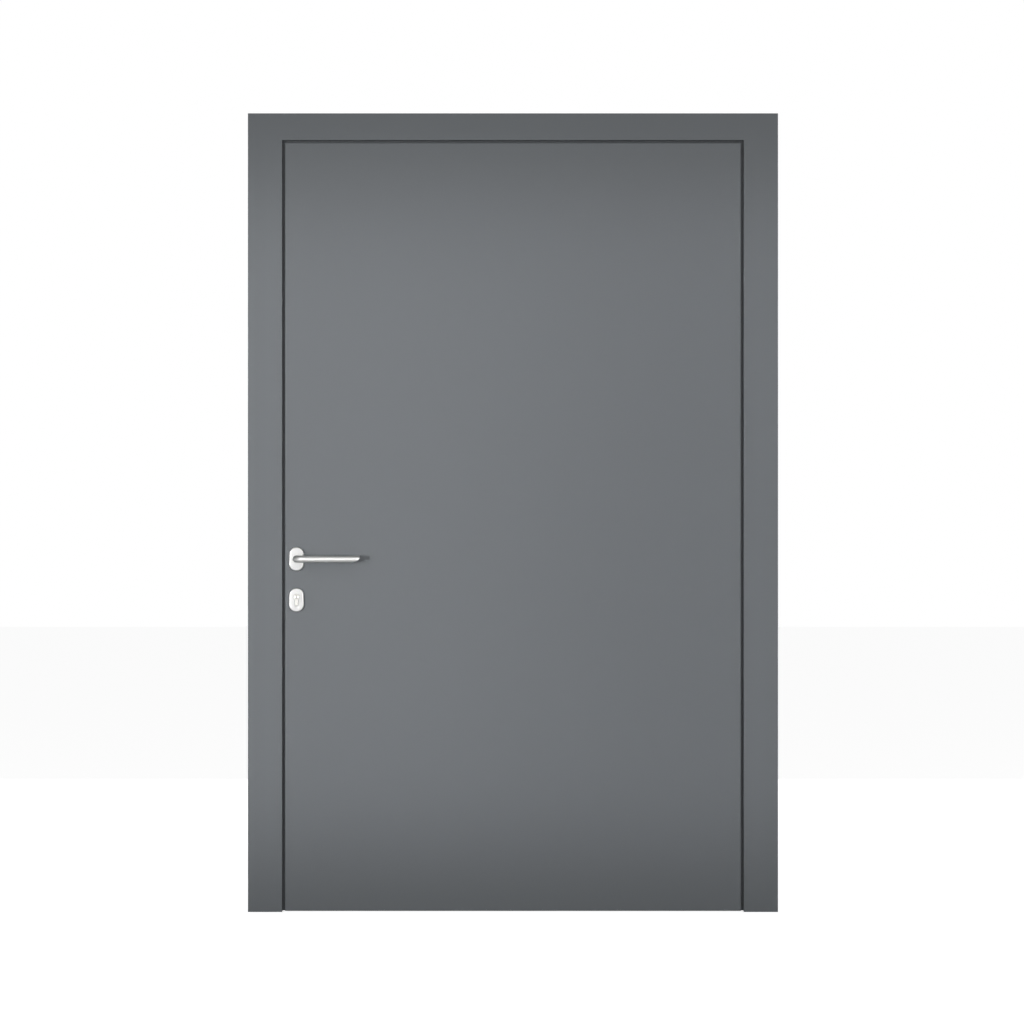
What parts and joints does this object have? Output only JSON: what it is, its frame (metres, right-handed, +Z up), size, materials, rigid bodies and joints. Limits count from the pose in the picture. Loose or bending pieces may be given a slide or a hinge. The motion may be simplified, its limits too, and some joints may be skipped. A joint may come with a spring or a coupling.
{
  "type": "aluminium front door",
  "caption": "Inward-opening aluminium entrance door with a smooth flush leaf in a slim frame, a lever handle and a separate key escutcheon on oval plates.",
  "frame": {"origin": "foot of the lock-side jamb, at its wall face and the outside face", "axes": "+X along the wall towards the hinge side, +Y from outside to inside, +Z up"},
  "size_m": [1.5, 0.195, 2.26],
  "materials": {
    "frame_coating": "satin",
    "leaf_coating": "satin",
    "polyamide": "matte",
    "seal_rubber": "matte",
    "hinge_metal": "satin",
    "lock_steel": "satin",
    "cylinder_nickel": "satin",
    "spindle_steel": "satin",
    "handle_metal": "satin"
  },
  "bodies": {
    "frame": {"frame_gasket": "seal_rubber", "frame_head_inner_shell": "frame_coating", "frame_head_outer_shell": "frame_coating", "frame_head_thermal_bars": "polyamide", "frame_hinge_jamb_inner_shell": "frame_coating", "frame_hinge_jamb_outer_shell": "frame_coating", "frame_hinge_jamb_thermal_bars": "polyamide", "frame_lock_jamb_inner_shell": "frame_coating", "frame_lock_jamb_outer_shell": "frame_coating", "frame_lock_jamb_thermal_bars": "polyamide", "hinge_1_frame_part": "hinge_metal", "hinge_1_pin": "hinge_metal", "hinge_2_frame_part": "hinge_metal", "hinge_2_pin": "hinge_metal", "hinge_3_frame_part": "hinge_metal", "hinge_3_pin": "hinge_metal", "strike_plate": "lock_steel"},
    "leaf": {"deadbolt": "lock_steel", "escutcheon_inside": "handle_metal", "escutcheon_outside": "handle_metal", "hinge_1_leaf_part": "hinge_metal", "hinge_2_leaf_part": "hinge_metal", "hinge_3_leaf_part": "hinge_metal", "latch_bolt": "lock_steel", "leaf_bottom_rail_inner_shell": "leaf_coating", "leaf_bottom_rail_outer_shell": "leaf_coating", "leaf_bottom_seal": "seal_rubber", "leaf_hinge_stile_inner_shell": "leaf_coating", "leaf_hinge_stile_outer_shell": "leaf_coating", "leaf_inner_panel": "leaf_coating", "leaf_lock_stile_inner_shell": "leaf_coating", "leaf_lock_stile_outer_shell": "leaf_coating", "leaf_outer_panel": "leaf_coating", "leaf_seal_channel": "leaf_coating", "leaf_thermal_bars": "polyamide", "leaf_top_rail_inner_shell": "leaf_coating", "leaf_top_rail_outer_shell": "leaf_coating", "lock_cylinder": "cylinder_nickel", "lock_faceplate": "lock_steel", "rosette_inside": "handle_metal", "rosette_outside": "handle_metal"},
    "lever_set": {"lever_inside": "handle_metal", "lever_outside": "handle_metal", "spindle": "spindle_steel"}
  },
  "joints": [
    {"name": "leaf_hinge", "type": "hinge", "parent": "frame", "child": "leaf", "pos_m": [1.421, 0.092, 0], "axis": [0, 0, -1], "range_deg": [0, 105]},
    {"name": "lever_turn", "type": "hinge", "parent": "leaf", "child": "lever_set", "pos_m": [0.138, 0.0375, 0.999], "axis": [0, 1, 0], "range_deg": [0, 40], "stiffness_Nm_per_rad": 2, "springref_deg": -34.38}
  ]
}
